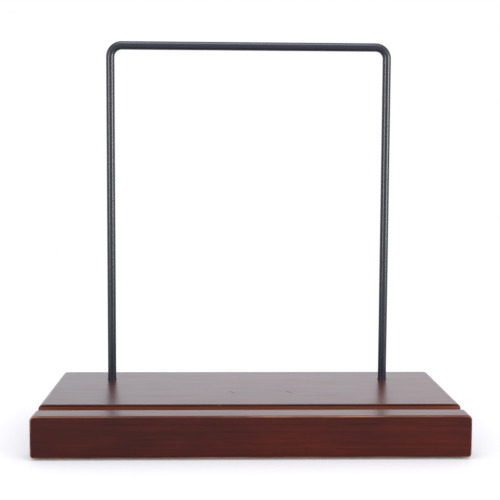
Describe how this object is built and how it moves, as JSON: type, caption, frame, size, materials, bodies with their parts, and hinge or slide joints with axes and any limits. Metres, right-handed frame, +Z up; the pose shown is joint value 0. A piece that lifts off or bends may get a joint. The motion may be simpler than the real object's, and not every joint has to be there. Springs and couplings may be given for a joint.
{
  "type": "photo album stand",
  "caption": "Tabletop stand that holds a photo album upright: grooved hardwood base board with a bent black wire back rest that lifts out.",
  "frame": {"origin": "on the table, under the middle of the base board: centre of the bounding box's bottom face", "axes": "+Z up, +X along the board to the right seen from the front, +Y from the front lip to the back"},
  "size_m": [0.231, 0.115, 0.227],
  "materials": {
    "stained_wood": "dark red-brown stain under satin lacquer, fine straight grain along the board",
    "black_wire": "satin black coating on steel rod",
    "pad_rubber": "matte dark rubber, thin self-adhesive discs"
  },
  "bodies": {
    "base": {"base_board": "stained_wood", "foot_pad_front_left": "pad_rubber", "foot_pad_front_right": "pad_rubber", "foot_pad_back_left": "pad_rubber", "foot_pad_back_right": "pad_rubber"},
    "frame": {"wire_frame": "black_wire"}
  },
  "joints": [
    {"name": "frame_lift", "type": "slide", "parent": "base", "child": "frame", "axis": [0, 0, 1], "range_m": [0, 0.03]}
  ]
}
